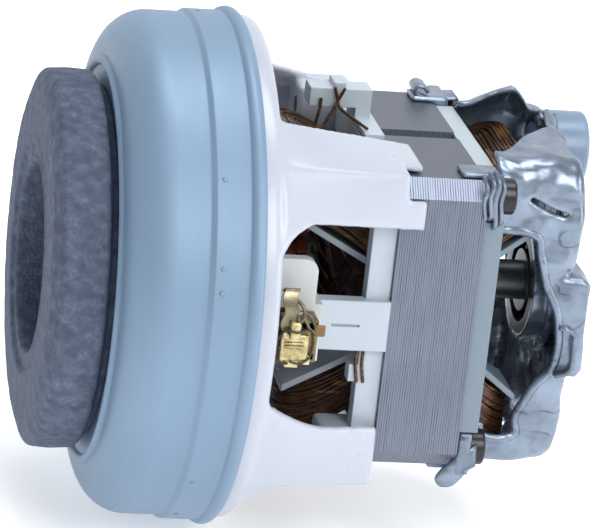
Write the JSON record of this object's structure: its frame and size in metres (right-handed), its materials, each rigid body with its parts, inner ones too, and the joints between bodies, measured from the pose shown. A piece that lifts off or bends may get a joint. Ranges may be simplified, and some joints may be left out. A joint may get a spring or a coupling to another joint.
{
  "type": "vacuum motor unit",
  "caption": "Vacuum cleaner motor: fan in a drawn shroud, white frame, open stator, brushes and rear bracket.",
  "frame": {"origin": "centre of the inlet seal's front face, on the shaft's axis", "axes": "+X along the shaft from the inlet to the rear bracket, +Z square to the stator's top face"},
  "size_m": [0.1148, 0.104, 0.104],
  "materials": {
    "seal_rubber": "cellular, dusty",
    "shroud_steel": "satin zinc plated",
    "fan_aluminium": "satin",
    "frame_plastic": "glossy white",
    "turned_steel": "turned",
    "ball_steel": "polished",
    "commutator_copper": "worn copper",
    "moulded_black": "moulded",
    "stator_sheets": "stacked sheets",
    "armature_sheets": "stacked sheets",
    "slot_liner": "varnished",
    "armature_enamel": "varnished wire",
    "field_enamel": "enamelled wire",
    "insulator_plastic": "satin",
    "cradle_plastic": "satin grey",
    "tube_brass": "satin",
    "clip_steel": "spring strip",
    "pigtail_copper": "braided",
    "brush_carbon": "carbon",
    "bracket_steel": "zinc plated",
    "plug_plastic": "milky",
    "screw_black": "black finish"
  },
  "bodies": {
    "root": {"inlet_seal_ring": "seal_rubber", "shroud": "shroud_steel", "inlet_collar": "shroud_steel", "diffuser": "frame_plastic", "motor_frame": "frame_plastic", "front_bearing_outer_ring": "turned_steel", "rear_bearing_outer_ring": "turned_steel", "stator_core": "stator_sheets", "upper_field_coil": "field_enamel", "upper_field_winding": "field_enamel", "lower_field_coil": "field_enamel", "lower_field_winding": "field_enamel", "front_insulator": "insulator_plastic", "rear_insulator": "insulator_plastic", "near_brush_tube": "tube_brass", "near_brush_cradle": "cradle_plastic", "near_brush_spring": "turned_steel", "near_brush_clip": "clip_steel", "near_brush_pigtail": "pigtail_copper", "far_brush_tube": "tube_brass", "far_brush_cradle": "cradle_plastic", "far_brush_spring": "turned_steel", "far_brush_clip": "clip_steel", "far_brush_pigtail": "pigtail_copper", "near_lead_wires": "field_enamel", "top_lead_wires": "field_enamel", "rear_bracket": "bracket_steel", "rear_bearing_cup": "bracket_steel", "rear_plug": "plug_plastic", "corner_screws": "screw_black"},
    "rotor": {"impeller_front_disc": "fan_aluminium", "impeller_back_disc": "fan_aluminium", "impeller_blades": "fan_aluminium", "impeller_hub_washer": "fan_aluminium", "shaft_spacer": "turned_steel", "nut_washer": "turned_steel", "fan_nut": "turned_steel", "shaft": "turned_steel", "front_bearing_inner_ring": "turned_steel", "rear_bearing_inner_ring": "turned_steel", "commutator_hub": "moulded_black", "commutator_bars": "commutator_copper", "armature_core": "armature_sheets", "armature_slot_wedges": "slot_liner", "armature_front_head": "armature_enamel", "armature_rear_head": "armature_enamel", "armature_front_winding": "armature_enamel", "armature_rear_winding": "armature_enamel"},
    "front_ball_set": {"front_bearing_balls": "ball_steel", "front_bearing_cage": "turned_steel"},
    "rear_ball_set": {"rear_bearing_balls": "ball_steel", "rear_bearing_cage": "turned_steel"},
    "near_brush_body": {"near_brush": "brush_carbon"},
    "far_brush_body": {"far_brush": "brush_carbon"}
  },
  "joints": [
    {"name": "rotor_spin", "type": "hinge", "parent": "root", "child": "rotor", "pos_m": [0, 0, 0], "axis": [1, 0, 0], "continuous": true},
    {"name": "front_balls_spin", "type": "hinge", "parent": "root", "child": "front_ball_set", "pos_m": [0.0398, 0, 0], "axis": [1, 0, 0], "continuous": true},
    {"name": "rear_balls_spin", "type": "hinge", "parent": "root", "child": "rear_ball_set", "pos_m": [0.1048, 0, 0], "axis": [1, 0, 0], "continuous": true},
    {"name": "near_brush_slide", "type": "slide", "parent": "root", "child": "near_brush_body", "axis": [0, -1, 0], "range_m": [0, 0.003], "stiffness_N_per_m": 60, "springref_m": -0.02, "deforming": ["near_brush_spring"]},
    {"name": "far_brush_slide", "type": "slide", "parent": "root", "child": "far_brush_body", "axis": [0, 1, 0], "range_m": [0, 0.003], "stiffness_N_per_m": 60, "springref_m": -0.02, "deforming": ["far_brush_spring"]}
  ],
  "couplings": [
    {"joint": "front_balls_spin", "follows": "rotor_spin", "ratio": 0.3677},
    {"joint": "rear_balls_spin", "follows": "rotor_spin", "ratio": 0.3677}
  ]
}
